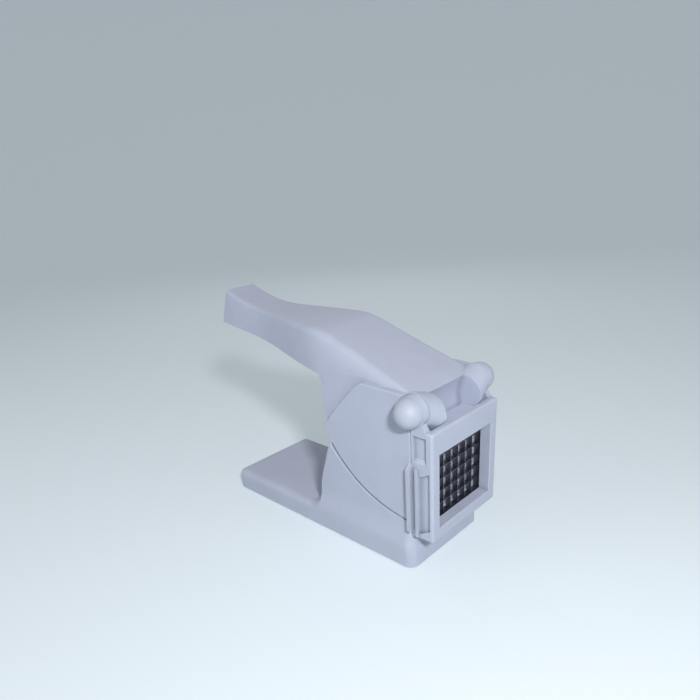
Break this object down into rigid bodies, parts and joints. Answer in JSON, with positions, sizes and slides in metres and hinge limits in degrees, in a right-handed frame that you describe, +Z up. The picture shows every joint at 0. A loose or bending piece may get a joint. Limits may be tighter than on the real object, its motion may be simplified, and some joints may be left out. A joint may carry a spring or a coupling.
{
  "type": "lever potato chipper",
  "caption": "Pale plastic lever potato chipper: a hooded lever with sector-shaped side plates swings over a curved saddle and pushes through a steel blade grid.",
  "frame": {"origin": "middle of the object's footprint at table level, halfway along its length with the lever pressed", "axes": "+X towards the outlet, the handle lies towards -X; +Y across, along the hinge line; +Z up"},
  "size_m": [0.2924, 0.1236, 0.2099],
  "materials": {
    "pale_plastic": "satin lavender-white moulding",
    "cap_plastic": "glossy pale moulding",
    "inner_plastic": "matte lavender-grey moulding",
    "blade_steel": "ground stainless strip",
    "pin_steel": "drawn steel",
    "foot_rubber": "soft matte rubber"
  },
  "bodies": {
    "stand": {"base": "pale_plastic", "foot_1": "foot_rubber", "foot_2": "foot_rubber", "foot_3": "foot_rubber", "foot_4": "foot_rubber", "front_frame": "pale_plastic", "frame_screws": "pin_steel", "axle_pins": "pin_steel", "ball_cap_left": "cap_plastic", "ball_cap_right": "cap_plastic"},
    "press_lever": {"lever": "pale_plastic", "guard_left": "pale_plastic", "guard_right": "pale_plastic", "guard_screws": "pin_steel", "pusher": "inner_plastic", "pusher_screws": "pin_steel"},
    "grid_cassette": {"grid_carrier": "inner_plastic", "grid_rim": "blade_steel", "blade_v_1": "blade_steel", "blade_v_2": "blade_steel", "blade_v_3": "blade_steel", "blade_v_4": "blade_steel", "blade_v_5": "blade_steel", "blade_v_6": "blade_steel", "blade_h_1": "blade_steel", "blade_h_2": "blade_steel", "blade_h_3": "blade_steel", "blade_h_4": "blade_steel", "blade_h_5": "blade_steel"}
  },
  "joints": [
    {"name": "lever_hinge", "type": "hinge", "parent": "stand", "child": "press_lever", "pos_m": [0.1258, 0, 0.1472], "axis": [0, 1, 0], "range_deg": [0, 100]},
    {"name": "cassette_slide", "type": "slide", "parent": "stand", "child": "grid_cassette", "axis": [0, 0, -1], "range_m": [0, 0.03]}
  ]
}
